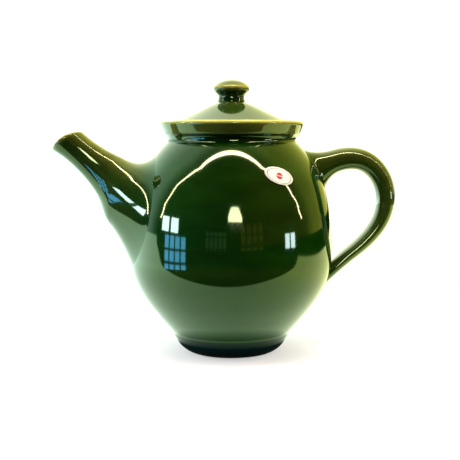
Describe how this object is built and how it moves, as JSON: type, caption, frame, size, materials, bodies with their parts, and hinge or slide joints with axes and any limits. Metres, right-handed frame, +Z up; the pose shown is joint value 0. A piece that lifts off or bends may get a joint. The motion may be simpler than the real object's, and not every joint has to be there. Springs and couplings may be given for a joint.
{
  "type": "teapot",
  "caption": "Round-bellied teapot in dark green glazed stoneware with a flared spout, a pulled loop handle, a knobbed drop-in lid and a small oval label.",
  "frame": {"origin": "on the axis of the pot, on the plane that the foot ring stands on", "axes": "+Z up along the axis, +X towards the handle, -X towards the spout, -Y is the side with the label"},
  "size_m": [0.2401, 0.141, 0.1896],
  "materials": {
    "glaze": "gloss",
    "label": "satin"
  },
  "bodies": {
    "pot": {"body": "glaze", "spout": "glaze", "handle": "glaze", "label": "label"},
    "lid": {"lid": "glaze", "knob": "glaze"}
  },
  "joints": [
    {"name": "lid_lift", "type": "slide", "parent": "pot", "child": "lid", "axis": [0, 0, 1], "range_m": [0, 0.08]}
  ]
}
